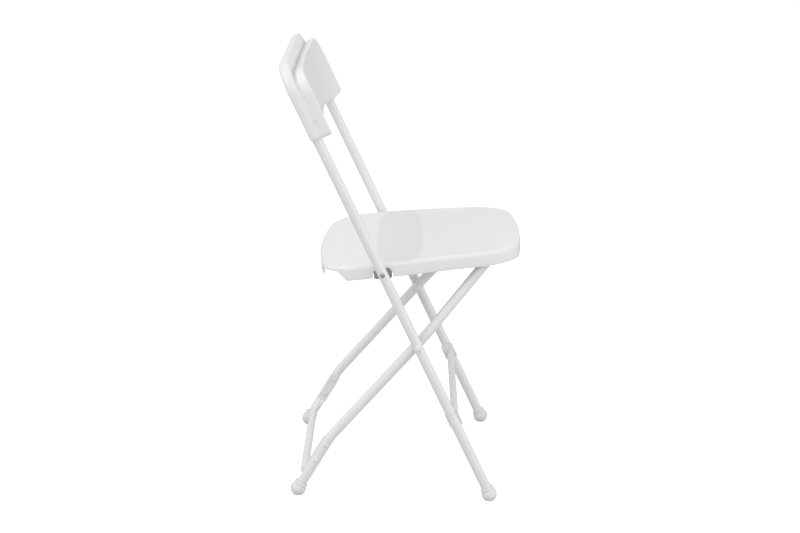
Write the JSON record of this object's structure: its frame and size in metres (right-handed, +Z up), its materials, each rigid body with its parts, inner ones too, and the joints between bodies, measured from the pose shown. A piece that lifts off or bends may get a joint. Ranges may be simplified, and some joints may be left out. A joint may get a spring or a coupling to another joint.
{
  "type": "folding chair",
  "caption": "Folding chair with a tubular steel X-frame, a moulded plastic seat with a skirt, a curved moulded back panel and ball-shaped foot caps.",
  "frame": {"origin": "on the floor at the centre of the open chair's footprint box", "axes": "+Z up, the sitter faces -Y, +X to the sitter's left"},
  "size_m": [0.4396, 0.454, 0.8386],
  "materials": {
    "frame_paint": "white powder coat, satin",
    "rivet_paint": "painted rivet",
    "seat_plastic": "glossy moulded plastic",
    "back_plastic": "glossy moulded plastic",
    "foot_plastic": "off-white cap",
    "nylon": "natural nylon",
    "fastener_steel": "plain steel",
    "hardware_steel": "grey steel"
  },
  "bodies": {
    "upright_frame": {"back_panel": "back_plastic", "back_screw_left": "fastener_steel", "back_screw_right": "fastener_steel", "cross_rivet_left": "rivet_paint", "cross_rivet_right": "rivet_paint", "cross_washer_left": "nylon", "cross_washer_right": "nylon", "front_brace": "frame_paint", "front_foot_left": "foot_plastic", "front_foot_right": "foot_plastic", "hinge_rivet_left": "fastener_steel", "hinge_rivet_right": "fastener_steel", "hinge_washer_left": "nylon", "hinge_washer_right": "nylon", "upright_tube_left": "frame_paint", "upright_tube_right": "frame_paint"},
    "rear_leg_frame": {"rear_brace": "frame_paint", "rear_foot_left": "foot_plastic", "rear_foot_right": "foot_plastic", "rear_leg_left": "frame_paint", "rear_leg_right": "frame_paint", "rear_rivet_left_1": "rivet_paint", "rear_rivet_left_2": "rivet_paint", "rear_rivet_right_1": "rivet_paint", "rear_rivet_right_2": "rivet_paint", "slide_bush_left": "nylon", "slide_bush_right": "nylon", "slide_rod": "hardware_steel"},
    "seat": {"bracket_screw_left_1": "fastener_steel", "bracket_screw_left_2": "fastener_steel", "bracket_screw_right_1": "fastener_steel", "bracket_screw_right_2": "fastener_steel", "cross_bar_screw_left": "fastener_steel", "cross_bar_screw_right": "fastener_steel", "hinge_bracket_left": "hardware_steel", "hinge_bracket_right": "hardware_steel", "seat_cross_bar": "hardware_steel", "seat_panel": "seat_plastic", "slide_track_left": "hardware_steel", "slide_track_right": "hardware_steel", "track_screw_left_1": "fastener_steel", "track_screw_left_2": "fastener_steel", "track_screw_right_1": "fastener_steel", "track_screw_right_2": "fastener_steel"}
  },
  "joints": [
    {"name": "seat_fold", "type": "hinge", "parent": "upright_frame", "child": "seat", "pos_m": [0, 0.03776, 0.44888], "axis": [-1, 0, 0], "range_deg": [0, 109.7]},
    {"name": "rear_leg_fold", "type": "hinge", "parent": "upright_frame", "child": "rear_leg_frame", "pos_m": [0, -0.02888, 0.30728], "axis": [-1, 0, 0], "range_deg": [0, 61]}
  ],
  "couplings": [
    {"joint": "rear_leg_fold", "follows": "seat_fold", "ratio": 0.55606}
  ]
}
